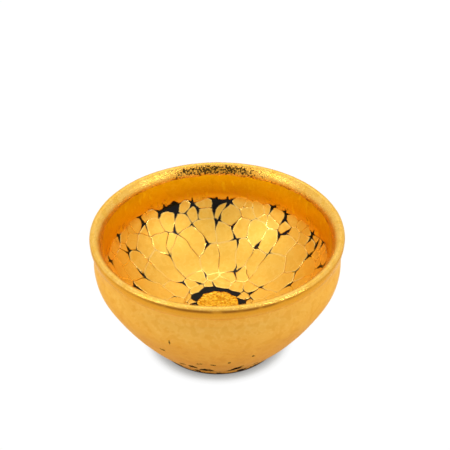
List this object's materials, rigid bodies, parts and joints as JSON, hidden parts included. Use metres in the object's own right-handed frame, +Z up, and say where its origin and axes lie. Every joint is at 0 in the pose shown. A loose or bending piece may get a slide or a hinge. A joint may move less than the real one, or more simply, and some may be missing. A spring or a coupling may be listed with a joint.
{
  "type": "tea bowl",
  "caption": "Thick-walled stoneware tea bowl with a narrowed mouth: black glaze under crackled gold cells, a plain inner band, a gilt rolled lip and a low bare foot ring.",
  "frame": {"origin": "centre of the foot ring, on the plane that the bowl stands on", "axes": "+Z up, along the axis that the bowl was turned about; X and Y are any pair across it"},
  "size_m": [0.09, 0.09, 0.048],
  "materials": {
    "fired_clay": "matte",
    "black_glaze": "gloss",
    "satin_gold": "satin",
    "grainy_gold": "satin",
    "deep_gold": "satin",
    "cell_gold": "satin"
  },
  "bodies": {
    "root": {"clay_body": "fired_clay", "base_glaze": "black_glaze", "outer_gold_coat": "satin_gold", "lip_gold_band": "grainy_gold", "inner_gold_band": "deep_gold", "inner_gold_cells": "cell_gold", "well_gold_collar": "cell_gold", "well_gold_disc": "cell_gold"}
  },
  "joints": []
}
